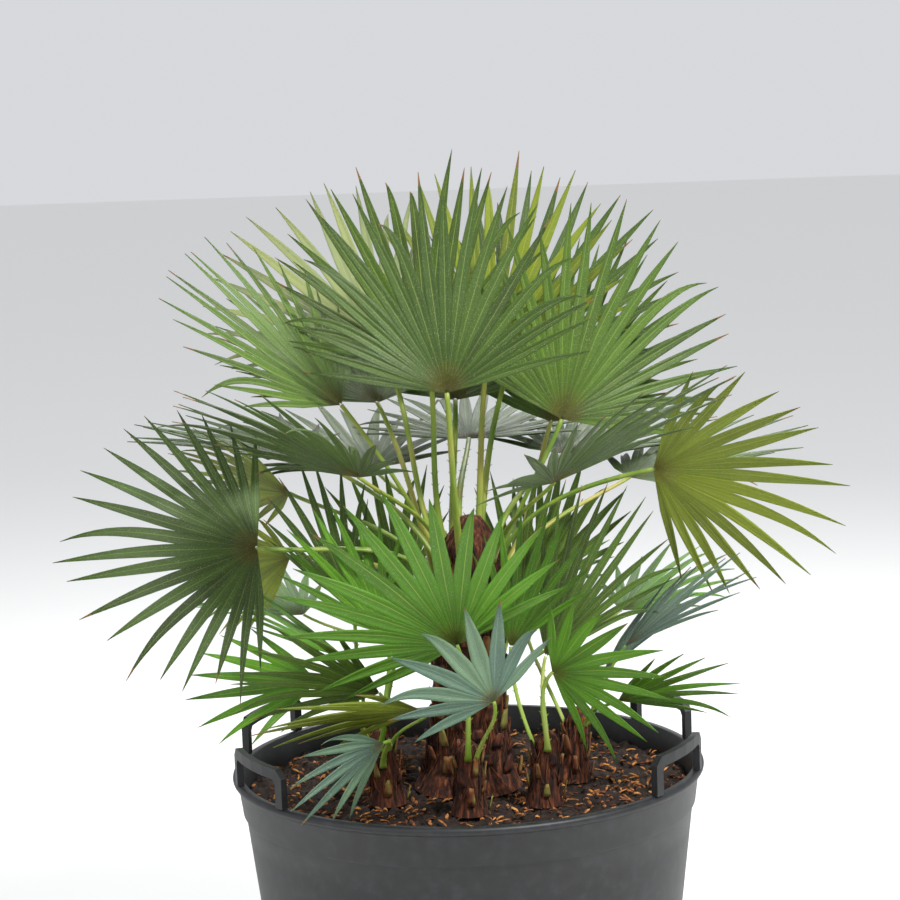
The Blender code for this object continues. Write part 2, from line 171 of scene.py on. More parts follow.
FRONDS = (
    Frond("front_centre", "trunk", (-0.012, -0.12, 1.055), 93, -4, 0, 160, 20, 0.325, DEEP),
    Frond("left_middle", "trunk", (-0.135, -0.2, 0.955), 142, 28, -64, 160, 18, 0.3, DEEP),
    Frond("right_middle", "trunk", (0.13, -0.18, 0.935), 48, 41, 62, 150, 18, 0.32, DEEP),
    Frond("left_upper", "trunk", (-0.16, -0.06, 1.035), 133, -9, 66, 140, 18, 0.33, MIDDLE),
    Frond("right_upper", "trunk", (0.15, 0.0, 0.995), 68, -6, 20, 165, 20, 0.335, MIDDLE),
    Frond("far_left", "trunk", (-0.285, -0.08, 0.84), 172, 15, 35, 190, 20, 0.29, DEEP),
    Frond("far_right", "trunk", (0.275, -0.04, 0.925), -8, 15, 24, 160, 16, 0.28, YELLOW),
    Frond("top_left", "trunk", (-0.035, 0.03, 1.065), 97, -3, 8, 140, 18, 0.335, MIDDLE),
    Frond("top_pale", "trunk", (-0.095, 0.06, 1.1), 122, -8, 16, 140, 18, 0.325, PALE),
    Frond("top_right", "trunk", (0.045, 0.08, 1.055), 78, -10, -8, 130, 17, 0.34, YELLOW),
    Frond("back_right", "trunk", (0.075, 0.13, 1.04), 60, -16, -12, 130, 16, 0.345, DEEP),
    Frond("left_back", "trunk", (-0.245, 0.07, 0.89), 165, -25, -50, 130, 14, 0.21, YELLOW),
    Frond("left_low", "trunk", (-0.25, 0.1, 0.79), 205, -30, 40, 120, 12, 0.18, YELLOW),
    Frond("front", "sucker_front", (-0.01, -0.22, 0.723), 124, 15, -15, 190, 15, 0.28, BRIGHT),
    Frond("blue", "sucker_front", (0.037, -0.25, 0.65), 125, 25, 0, 170, 9, 0.185, BLUE),
    Frond("low_right", "sucker_front_right", (0.12, -0.17, 0.668), 5, 25, 20, 170, 11, 0.18, BRIGHT),
    Frond("right_tall", "sucker_front_right", (0.115, -0.05, 0.663), 61, 0, 12, 80, 12, 0.285, MIDDLE),
    Frond("right_blue", "sucker_right", (0.232, 0.0, 0.663), 38, 5, 55, 80, 8, 0.23, BLUE),
    Frond("right_folded", "sucker_right", (0.2, 0.04, 0.615), 46, -8, 60, 70, 8, 0.22, BLUE),
    Frond("flat_left", "sucker_front_left", (-0.06, -0.2, 0.628), 180, 10, -60, 110, 8, 0.24, YELLOW),
    Frond("spear", "sucker_left", (-0.168, -0.04, 0.668), 147, 5, 75, 46, 7, 0.22, BRIGHT),
    Frond("left", "sucker_front_left", (-0.12, -0.14, 0.64), 160, 12, -30, 95, 9, 0.22, MIDDLE),
    Frond("left_tall", "sucker_left", (-0.16, 0.02, 0.73), 108, 0, 20, 70, 9, 0.24, DEEP),
    Frond("behind_left", "sucker_left", (-0.09, 0.1, 0.731), 98, -8, 0, 90, 10, 0.22, MIDDLE),
    Frond("middle_right", "sucker_right", (0.085, 0.03, 0.706), 84, 0, 0, 90, 11, 0.23, MIDDLE),
    Frond("inner_left", "sucker_front_left", (-0.11, -0.04, 0.7), 118, 5, 10, 80, 9, 0.23, BRIGHT),
    Frond("inner_right", "sucker_front_right", (0.065, -0.1, 0.69), 75, 8, -10, 80, 9, 0.22, BRIGHT),
    Frond("low_left", "sucker_front_left", (-0.115, -0.22, 0.59), 205, 30, -30, 100, 7, 0.17, BLUE),
    Frond("low_side", "sucker_right", (0.215, -0.07, 0.6), 20, 20, 40, 90, 8, 0.19, BRIGHT),
    Frond("behind_right", "sucker_back", (0.12, 0.14, 0.72), 70, -15, 0, 90, 9, 0.22, MIDDLE),
    Frond("left_side", "sucker_left", (-0.215, 0.03, 0.62), 182, -5, 40, 100, 8, 0.2, BRIGHT),
)


class Ring(NamedTuple):
    """A run of fronds round the far side, with a little scatter. Bearings in degrees from +X toward +Y."""

    name: str
    stem: str
    count: int
    first_bearing: float
    last_bearing: float
    reach: float
    height: float
    rise: float
    spread: float
    leaflets: int
    length: float
    kind: Kind


RINGS = (
    Ring("back_low", "trunk", 5, 22, 150, 0.270, 0.900, 12, 165, 16, 0.280, DEEP),
    Ring("back_high", "trunk", 3, 50, 130, 0.190, 1.000, 42, 155, 17, 0.310, MIDDLE),
    Ring("back", "sucker_back", 4, 35, 145, 0.290, 0.690, 22, 140, 11, 0.210, BRIGHT),
)


@dataclass(frozen=True)
class Blade:
    """A frond's place: hub, middle direction, side direction and face."""

    hub: Vector
    along: Vector
    side: Vector
    face: Vector

    def at(self, angle: float, radius: float, lift: float) -> Vector:
        """Finds a point of the fan.

        Args:
            angle: degrees from the middle leaflet.
            radius: distance from the hub in metres.
            lift: metres off the fan's plane.

        Returns:
            The point.
        """
        a = math.radians(angle)
        return self.hub + (self.along * math.cos(a) + self.side * math.sin(a)) * radius + self.face * lift

    def turned(self, tilt: float, shift: float) -> "Blade":
        """Gives the blade tilted about its side axis, its hub moved along its face.

        Args:
            tilt: degrees.
            shift: metres.

        Returns:
            The turned blade.
        """
        a = math.radians(tilt)
        along = self.along * math.cos(a) + self.face * math.sin(a)
        return Blade(self.hub + self.face * shift, along, self.side, along.cross(self.side))


@dataclass(frozen=True)
class Leaflet:
    """One leaflet as it grew: its angle in degrees, its full length, tilt and kept share."""

    angle: float
    reach: float
    tilt: float
    share: float


@dataclass(frozen=True)
class GrownFrond:
    """A frond with the place that its solid in the frame has."""

    name: str
    low: bool
    kind: Kind
    blade: Blade
    spread: float
    length: float
    leaflets: tuple[Leaflet, ...]
    foot: Vector
    out: Vector
    across: Vector
    bulge: float


def linear(code: str) -> Colour:
    """Turns an sRGB hex colour into linear values.

    Args:
        code: such as "#35561c".

    Returns:
        Red, green, blue and an alpha of one.
    """
    parts = [int(code[i : i + 2], 16) / 255 for i in (1, 3, 5)]
    turned = [c / 12.92 if c <= 0.04045 else ((c + 0.055) / 1.055) ** 2.4 for c in parts]
    return (*turned, 1.0)


def around(radius: float, height: float, sides: int, centre: Vector) -> list[Vector]:
    """Lists the corners of a level ring.

    Args:
        radius: in metres.
        height: above the centre.
        sides: how many corners.
        centre: the ring's centre at height nought.

    Returns:
        The corners, counter-clockwise.
    """
    steps = (math.tau * i / sides for i in range(sides))
    return [centre + Vector((radius * math.cos(a), radius * math.sin(a), height)) for a in steps]


@dataclass
class Stem:
    """A stem's rings and the flat sides that already carry a foot, as the source counts them."""

    centre: tuple[float, float]
    sizes: tuple[tuple[float, float], ...]
    sides: int
    lean: Vector
    rows: tuple[int, ...]
    taken: set[tuple[int, int]] = field(default_factory=set)

    def shift(self, rise: float) -> Vector:
        """Finds the stem's axis at a rise above the compost.

        Args:
            rise: in metres.

        Returns:
            The point of the axis, less the rise.
        """
        return Vector((*self.centre, SOIL_TOP)) + self.lean * rise / self.sizes[-1][0]

    def foot(self, toward: Vector) -> tuple[Vector, Vector, Vector]:
        """Takes the free flat side that looks most nearly at a point.

        Args:
            toward: the frond's hub.

        Returns:
            The side's centre a hair clear, and its outward and sideways axes.
        """
        rings = [around(radius, rise, self.sides, self.shift(rise)) for rise, radius in self.sizes]
        best = None
        for (rank, row), i in product(enumerate(self.rows), range(self.sides)):
            if (row, i) in self.taken:
                continue
            low, high = rings[row], rings[row + 1]
            corners = (low[i], low[(i + 1) % self.sides], high[(i + 1) % self.sides], high[i])
            centre = sum(corners, Vector()) / len(corners)
            across = (corners[1] - corners[0]).normalized()
            up = (corners[3] + corners[2] - corners[0] - corners[1]).normalized()
            out = across.cross(up).normalized()
            reach = toward - centre
            score = out.dot(Vector((reach.x, reach.y, 0)).normalized()) - FOOT_ROW_COST * rank
            if best is None or score > best[0]:
                best = (score, (row, i), centre + out * FOOT_GAP, out, across)
        assert best is not None
        self.taken.add(best[1])
        return best[2:]


def make_stems() -> dict[str, Stem]:
    """Sets out the trunk and the suckers as the source does.

    Returns:
        Each stem by its node's name, the trunk first.
    """
    stems = {"trunk": Stem((0, 0), TRUNK_RINGS, TRUNK_SIDES, Vector((*TRUNK_LEAN, 0)), TRUNK_FOOT_ROWS)}
    for name, place in SUCKER_PLACES.items():
        lean = Vector((*place, 0)) * SUCKER_LEAN
        stems[name] = Stem(place, SUCKER_RINGS, SUCKER_SIDES, lean, SUCKER_FOOT_ROWS)
    return stems


def curve_ends(foot: Vector, out: Vector, blade: Blade, bulge: float) -> tuple[Vector, ...]:
    """Sets the four control points of a petiole's curve from its foot to the hub.

    Args:
        foot: the foot's centre.
        out: outward from the stem.
        blade: where the petiole ends.
        bulge: how far it leans out first.

    Returns:
        The control points.
    """
    length = (blade.hub - foot).length
    leave = (out * PETIOLE_LEAVE_OUT + Vector((0, 0, 1)) + out * bulge).normalized()
    arrive = (blade.along * 0.5 + (blade.hub - foot).normalized() * 0.5).normalized()
    second = foot + leave * PETIOLE_LEAVE * length
    return foot, second, blade.hub - arrive * PETIOLE_ARRIVE * length, blade.hub


def curve_at(ends: Sequence[Vector], t: float) -> tuple[Vector, Vector]:
    """Finds a point of a cubic curve and its direction there.

    Args:
        ends: the control points.
        t: from nought to one.

    Returns:
        The point and the unit direction.
    """
    weights = ((1 - t) ** 3, 3 * t * (1 - t) ** 2, 3 * t * t * (1 - t), t**3)
    point = sum((end * weight for end, weight in zip(ends, weights)), Vector())
    first, middle, last = (ends[i + 1] - ends[i] for i in range(3))
    slope = first * (1 - t) ** 2 + middle * 2 * t * (1 - t) + last * t * t
    return point, slope.normalized()


def side_at(across: Vector, blade: Blade, slope: Vector, t: float) -> Vector:
    """Finds the sideways axis of a petiole, turning from its foot's to its blade's.

    Args:
        across: sideways at the foot.
        blade: where it ends.
        slope: the curve's direction.
        t: from nought to one.

    Returns:
        A unit axis square to the curve.
    """
    sign = 1 if blade.side.dot(across) >= 0 else -1
    side = (across * (1 - t) + blade.side * t * sign).normalized()
    return (side - slope * side.dot(slope)).normalized()


def leaflet_length(length: float, spread: float, angle: float) -> float:
    """Gives a leaflet's length; the outer ones are shorter.

    Args:
        length: of the middle leaflet.
        spread: of the fan in degrees.
        angle: of this leaflet in degrees.

    Returns:
        Its length.
    """
    return length * (1 - (1 - OUTER_LEAFLET) * abs(2 * angle / spread) ** 2)


@dataclass
class Thicket:
    """All the fronds, each at the place that its solid has in the frame."""

    nodes: dict[str, bpy.types.Object]
    fronds: list[GrownFrond] = field(default_factory=list)

    def grow(self) -> list[GrownFrond]:
        """Goes through the fronds in the source's order.

        Returns:
            The fronds.
        """
        rng = random.Random(SEED)
        stems = make_stems()
        for low, prefix in ((False, "frond_"), (True, "sucker_frond_")):
            for row in FRONDS:
                if (row.stem != "trunk") == low:
                    self.place(prefix + row.name, stems[row.stem], self.blade_from_view(row), row, low, rng)
            for ring in RINGS:
                if (ring.stem != "trunk") == low:
                    for i, blade in enumerate(self.blades_of(ring, rng), 1):
                        self.place(f"{prefix}{ring.name}_{i}", stems[ring.stem], blade, ring, low, rng)
        return self.fronds

    @staticmethod
    def blade_from_view(row: Frond) -> Blade:
        """Works out a blade from its heading, lean and turn as the front shows them.

        Args:
            row: the frond.

        Returns:
            Its blade before it is turned clear.
        """
        heading, lean, turn = map(math.radians, (row.heading, row.lean, row.turn))
        flat = math.cos(lean)
        along = Vector((math.cos(heading) * flat, -math.sin(lean), math.sin(heading) * flat))
        level = Vector((-math.sin(heading), 0, math.cos(heading)))
        side = level * math.cos(turn) + along.cross(level) * math.sin(turn)
        return Blade(Vector(row.hub), along, side, along.cross(side))

    @staticmethod
    def blades_of(ring: Ring, rng: random.Random) -> Iterator[Blade]:
        """Blades of one run, each looking outward and up.

        Args:
            ring: the run.
            rng: the source's draws.

        Yields:
            Each blade before it is turned clear.
        """
        for i in range(ring.count):
            share = i / max(ring.count - 1, 1)
            bearing = math.radians(ring.first_bearing + (ring.last_bearing - ring.first_bearing) * share)
            rise = math.radians(ring.rise + rng.uniform(-RISE_SCATTER, RISE_SCATTER))
            out = Vector((math.cos(bearing), math.sin(bearing), 0))
            hub = out * ring.reach + Vector((0, 0, ring.height + rng.uniform(-HUB_SCATTER, HUB_SCATTER)))
            along = out * math.cos(rise) + Vector((0, 0, math.sin(rise)))
            side = Vector((-math.sin(bearing), math.cos(bearing), 0))
            yield Blade(hub, along, side, along.cross(side))

    def place(
        self, name: str, stem: Stem, blade: Blade, row: Frond | Ring, low: bool, rng: random.Random
    ) -> None:
        """Finds the turn, shift and leaflets of a frond that match its solid.

        Args:
            name: the frame node's name.
            stem: what it stands on.
            blade: its place before it is turned clear.
            row: its spread, leaflets, length and colour.
            low: whether it is a sucker's.
            rng: the source's draws.
        """
        foot, out, across = stem.foot(blade.hub)
        seed = rng.random()
        node = self.nodes.get(name)
        if node is None:
            log.warning("no solid for %s", name)
            return
        corners = [node.matrix_world @ v.co for v in node.data.vertices]
        tree = KDTree(len(corners))
        for i, point in enumerate(corners):
            tree.insert(point, i)
        tree.balance()

        def held(point: Vector) -> bool:
            """Tells whether the solid has a corner at a point.

            Args:
                point: where.

            Returns:
                True where it has.
            """
            return tree.find(point)[2] < SAME_PLACE

        width = SUCKER_PETIOLE_WIDTH if low else PETIOLE_WIDTH
        sides = (-row.spread / 2, row.spread / 2)
        for tilt, shift in product(TILTS, SHIFTS):
            trial = blade.turned(tilt, shift)
            if all(held(trial.at(a, SPLIT * leaflet_length(row.length, row.spread, a), 0)) for a in sides):
                break
        else:
            log.warning("no place matches %s", name)
            return
        t = 2 / PETIOLE_STEPS
        for bulge in BULGES:
            point, slope = curve_at(curve_ends(foot, out, trial, bulge), t)
            side = side_at(across, trial, slope, t)
            if held(point - side * width / 2 * (1 - PETIOLE_NARROWING * t)):
                break
        leaves = tuple(self.leaflets_of(trial, row, random.Random(seed), held))
        size = (row.spread, row.length, leaves)
        self.fronds.append(GrownFrond(name, low, row.kind, trial, *size, foot, out, across, bulge))

    @staticmethod
    def leaflets_of(
        blade: Blade, row: Frond | Ring, rng: random.Random, held: Callable[[Vector], bool]
    ) -> list[Leaflet]:
        """Finds each leaflet's tilt and share, those whose tip the solid holds.

        Args:
            blade: the frond's place.
            row: its spread, leaflets and length.
            rng: the frond's own draws.
            held: tells whether the solid has a corner at a point.

        Returns:
            The leaflets.
        """
        gap = row.spread / row.leaflets
        made = []
        for i in range(row.leaflets):
            angle = row.spread * ((i + 0.5) / row.leaflets - 0.5)
            angle += rng.uniform(-ANGLE_SCATTER, ANGLE_SCATTER) * gap
            reach = leaflet_length(row.length, row.spread, angle) * rng.uniform(SHORTEST, 1.0)
            for tilt, share in LEAFLET_TRIES:
                tried = tilt + ALTERNATE_TILT * (i % 2)
                full = reach * share
                rise = math.sin(math.radians(tried))
                if held(blade.at(angle, full, full * rise) - Vector((0, 0, TIP_SAG * full))):
                    break
            else:
                log.warning("no leaflet matches")
                tried, share = 0, 0.9
            made.append(Leaflet(angle, reach, tried, share))
        return made


@dataclass
class SheetBuilder:
    """Gathers grids of points into one mesh with a UV map and two numbers a leaf."""

    points: list[np.ndarray] = field(default_factory=list)
    faces: list[np.ndarray] = field(default_factory=list)
    uvs: list[np.ndarray] = field(default_factory=list)
    tints: list[np.ndarray] = field(default_factory=list)
    sprays: list[np.ndarray] = field(default_factory=list)
    count: int = 0

    def add(self, grid: np.ndarray, tint: float, spray: float, closed: bool = False) -> None:
        """Adds a grid of points, rows along and columns across.

        Args:
            grid: rows by columns by three.
            tint: a number from nought to one for this leaf.
            spray: the same for its frond.
            closed: whether the last column meets the first.
        """
        rows, columns = grid.shape[:2]
        index = np.arange(rows * columns).reshape(rows, columns) + self.count
        if closed:
            index = np.concatenate([index, index[:, :1]], axis=1)
        quads = np.stack([index[:-1, :-1], index[:-1, 1:], index[1:, 1:], index[1:, :-1]], axis=-1)
        across, along = np.meshgrid(np.linspace(0, 1, columns), np.linspace(0, 1, rows))
        self.points.append(grid.reshape(-1, 3))
        self.faces.append(quads.reshape(-1, 4))
        self.uvs.append(np.stack([across, along], axis=-1).reshape(-1, 2))
        self.tints.append(np.full(rows * columns, tint))
        self.sprays.append(np.full(rows * columns, spray))
        self.count += rows * columns

    def build(self, name: str, surface: bpy.types.Material, smooth: bool = True) -> bpy.types.Object:
        """Makes the mesh object.

        Args:
            name: the piece's name.
            surface: its material.
            smooth: whether it is shaded smooth.

        Returns:
            The object, at the origin.
        """
        points, faces = np.concatenate(self.points), np.concatenate(self.faces)
        mesh = bpy.data.meshes.new(name)
        mesh.from_pydata(points.tolist(), [], faces.tolist())
        corners = np.empty(len(mesh.loops), np.int32)
        mesh.loops.foreach_get("vertex_index", corners)
        layer = mesh.uv_layers.new(name="leaf_uv")
        layer.data.foreach_set("uv", np.concatenate(self.uvs)[corners].ravel())
        for label, values in (("tint", self.tints), ("spray", self.sprays)):
            mesh.attributes.new(label, "FLOAT", "POINT").data.foreach_set("value", np.concatenate(values))
        mesh.polygons.foreach_set("use_smooth", np.full(len(mesh.polygons), smooth))
        mesh.materials.append(surface)
        mesh.update()
        obj = bpy.data.objects.new(name, mesh)
        bpy.context.scene.collection.objects.link(obj)
        return obj


PETIOLE_STATIONS = 24
PETIOLE_SIDES = 8
FUSED_STATIONS = 5
FREE_STATIONS = 11
PLEAT = 0.42
STRAY = 0.035
BEND_SHARE = 0.12
BEND = 0.16
BEND_RANGE = (0.4, 1.0)
CURL = 0.02
NARROWING_POWER = 1.8
TIP_SHARE = 0.02
HUB_SHARE = 0.03
HALF_LEAF_BULGE = 0.05
LEAF_THICKNESS = 0.0007
SHEATH_FLARE = (0.5, 14)
SPINE_STEP = 0.022
SPINE_LENGTH = 0.006
SPINE_RUN = (0.12, 0.9)
SPINE_SCATTER = 0.004
SPINE_BASE = (0.0012, 0.0009)


def vec(v: Vector) -> np.ndarray:
    """Turns a vector into an array.

    Args:
        v: the vector.

    Returns:
        Its three numbers.
    """
    return np.array(v[:])


@dataclass
class Foliage:
    """Turns the grown fronds into pleated leaflets, petioles and their spines."""

    fronds: list[GrownFrond]
    rng: np.random.Generator

    def leaflet_grid(self, frond: GrownFrond, i: int) -> np.ndarray:
        """Lays out a leaflet, fused with its neighbours up to the split, then narrowing to its tip.

        The rib runs low and the edges high, which folds each leaflet; past the split the half width falls as
        one less the share of the free length to the power 1.8.

        Args:
            frond: the frond.
            i: the leaflet's number.

        Returns:
            Stations by five points across.
        """
        leaf, blade = frond.leaflets[i], frond.blade
        count = len(frond.leaflets)
        hub, along, side, face = (vec(v) for v in (blade.hub, blade.along, blade.side, blade.face))

        def ray(angle: float) -> np.ndarray:
            """Gives the unit direction of the fan's plane at an angle.

            Args:
                angle: degrees from the middle leaflet.

            Returns:
                The direction.
            """
            a = math.radians(angle)
            return along * math.cos(a) + side * math.sin(a)

        bounds = [frond.spread * ((i + step) / count - 0.5) for step in (0, 1)]
        reach = [SPLIT * leaflet_length(frond.length, frond.spread, angle) for angle in bounds]
        start = SPLIT * leaf.reach
        edges = [ray(angle) * r for angle, r in zip(bounds, reach)]
        middle = ray(leaf.angle)
        half = np.linalg.norm(edges[1] - edges[0]) / 2
        q = np.linspace(HUB_SHARE, 1, FUSED_STATIONS)[:, None]
        fused = [edges[0] * q, middle * start * q - face * half * PLEAT * q, edges[1] * q]
        full = leaf.reach * leaf.share
        u = np.linspace(0, 1, FREE_STATIONS)[1:, None]
        rise = math.sin(math.radians(leaf.tilt))
        spine = middle * (start + (full - start) * u) + face * full * rise * u
        spine = spine - np.array([0, 0, 1]) * TIP_SAG * full * u**2
        stray = random.Random(f"{frond.name} {i}")
        spine = spine + np.cross(face, middle) * full * stray.uniform(-STRAY, STRAY) * u**1.5
        if stray.random() < BEND_SHARE:
            spine = spine - np.array([0, 0, 1]) * BEND * full * stray.uniform(*BEND_RANGE) * u**3
        spine = spine + face * full * stray.uniform(-CURL, CURL) * u**2
        width = np.maximum(1 - u**NARROWING_POWER, TIP_SHARE)
        free = [
            spine + (edges[0] - middle * start) * width,
            spine - face * half * PLEAT * width,
            spine + (edges[1] - middle * start) * width,
        ]
        left, rib, right = (np.concatenate(pair) for pair in zip(fused, free))
        bulge = face * half * HALF_LEAF_BULGE
        return hub + np.stack([left, (left + rib) / 2 + bulge, rib, (right + rib) / 2 + bulge, right], axis=1)

    def leaves(self, kind: Kind, surface: bpy.types.Material) -> bpy.types.Object:
        """Joins all the blades of one colour as one piece.

        Args:
            kind: the colour.
            surface: its material.

        Returns:
            The piece.
        """
        sheet = SheetBuilder()
        names = []
        for frond in self.fronds:
            spray = self.rng.random()
            tints = self.rng.random(len(frond.leaflets))
            if frond.kind is not kind:
                continue
            names.append(frond.name)
            for i, tint in enumerate(tints):
                sheet.add(self.leaflet_grid(frond, i), tint, spray)
        piece = sheet.build(f"leaves_{kind.name.lower()}", surface)
        thickness = piece.modifiers.new("thickness", "SOLIDIFY")
        thickness.thickness, thickness.offset = LEAF_THICKNESS, 0
        self.claim(piece, names, "young_leaf" if kind is Kind.BRIGHT else "leaf")
        return piece

    @staticmethod
    def claim(piece: bpy.types.Object, names: Sequence[str], slot: str) -> None:
        """Puts a piece on the body and hides the frame nodes that it stands for.

        Args:
            piece: the piece.
            names: the nodes it replaces.
            slot: a material slot's name; not used.
        """
        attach(piece, "root")
        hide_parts(*names)

    def petioles(self, low: bool, surface: bpy.types.Material) -> bpy.types.Object:
        """Makes the petioles as tapering stalks, flatter on top, with short spines along both edges.

        Args:
            low: the suckers' petioles, or else the trunk's.
            surface: the material.

        Returns:
            The piece.
        """
        sheet = SheetBuilder()
        flare, fade = SHEATH_FLARE
        turns = np.linspace(0, math.tau, PETIOLE_SIDES, endpoint=False)
        for frond in (f for f in self.fronds if f.low == low):
            width = SUCKER_PETIOLE_WIDTH if low else PETIOLE_WIDTH
            depth = PETIOLE_DEPTH * width / PETIOLE_WIDTH
            ends = curve_ends(frond.foot, frond.out, frond.blade, frond.bulge)
            rings, tint = [], self.rng.random()
            for t in np.linspace(0, 1.0, PETIOLE_STATIONS):
                point, slope = curve_at(ends, t)
                side = side_at(frond.across, frond.blade, slope, t)
                top = vec(side.cross(slope))
                half = width / 2 * (1 - PETIOLE_NARROWING * t) * (1 + flare * math.exp(-t * fade))
                rise = depth / 2 * (1 - PETIOLE_THINNING * t)
                wide = np.outer(np.cos(turns) * half, vec(side))
                rings.append(vec(point) + wide + np.outer(np.sin(turns) * rise, top))
            centres = [ring.mean(axis=0) for ring in (rings[0], rings[-1])]
            first, last = (c + (ring - c) * TIP_SHARE for c, ring in zip(centres, (rings[0], rings[-1])))
            sheet.add(np.array([first, *rings, last]), tint, self.rng.random(), closed=True)
            self.spines(sheet, ends, frond, width, tint)
        piece = sheet.build("petioles_suckers" if low else "petioles_crown", surface)
        names = [f.name for f in self.fronds if f.low == low]
        self.claim(piece, names, "young_leaf" if low else "leaf")
        return piece

    def spines(
        self, sheet: SheetBuilder, ends: Sequence[Vector], frond: GrownFrond, width: float, tint: float
    ) -> None:
        """Adds short spines that point toward the blade, on both edges of a petiole.

        Args:
            sheet: where they go.
            ends: the petiole's control points.
            frond: the frond.
            width: of the petiole.
            tint: of the petiole.
        """
        length = (ends[3] - ends[0]).length
        for t in np.arange(*SPINE_RUN, SPINE_STEP / length):
            point, slope = curve_at(ends, t)
            side = side_at(frond.across, frond.blade, slope, t)
            edge = width / 2 * (1 - PETIOLE_NARROWING * t)
            for sign in (-1, 1):
                step = self.rng.uniform(-SPINE_SCATTER, SPINE_SCATTER)
                base = vec(point + side * sign * edge * 0.8 + slope * step)
                tip = base + vec(side * sign * 0.7 + slope * 0.7) * SPINE_LENGTH * self.rng.uniform(0.6, 1.1)
                lean, up = vec(slope) * SPINE_BASE[0], vec(side.cross(slope)) * SPINE_BASE[1]
                ring = np.array([base - lean, base + up, base + lean, base - up])
                sheet.add(np.array([ring, tip + (ring - base) * 0.05]), tint, 1.0, closed=True)


WAVE_STARTS = (0, 6)
CORE_ROWS, CORE_COLUMNS = 110, 128
CORE_INSET = 0.97
CORE_WAVES = 12
CORE_RELIEF = (0.02, 0.012)
# Ridges round the stem, and how far they wind as they climb, in radians a metre
CORE_RIDGES = (5, 46)
CORE_WINDING = (-160, 160)
CORE_TIP = 0.05
STUB_RISE = 0.026
STUB_TURN = 2.39996
STUB_RUN = (0.03, 0.80)
STUB_INSET = 0.93
STUB_RAGGED = 0.0012
STUB_SIDES = 8
STUB_STANDS_OFF = (0.002, 0.005)
# Share of the stub's height and of its width, ring by ring
STUB_SECTION = ((0, 0.05), (0, 1), (0.35, 0.92), (0.75, 0.7), (1, 0.5), (0.96, 0.05))
FOOT_CLEAR = 0.012
STRANDS_A_STUB = 9
# How many stubs, and their width in metres
TRUNK_STUBS = (110, 0.020)
SUCKER_STUBS = (16, 0.010)
STRAND_STATIONS = 6
STRAND_INSET = 0.975
STRAND_FOOT, STRAND_TOP = (0.02, 0.85), 0.98
STRAND_LENGTH = (1.5, 4.0)
STRAND_SLANT = 0.5
STRAND_ARCH = (0.0005, 0.003)
STRAND_THICKNESS = (0.0003, 0.0007)


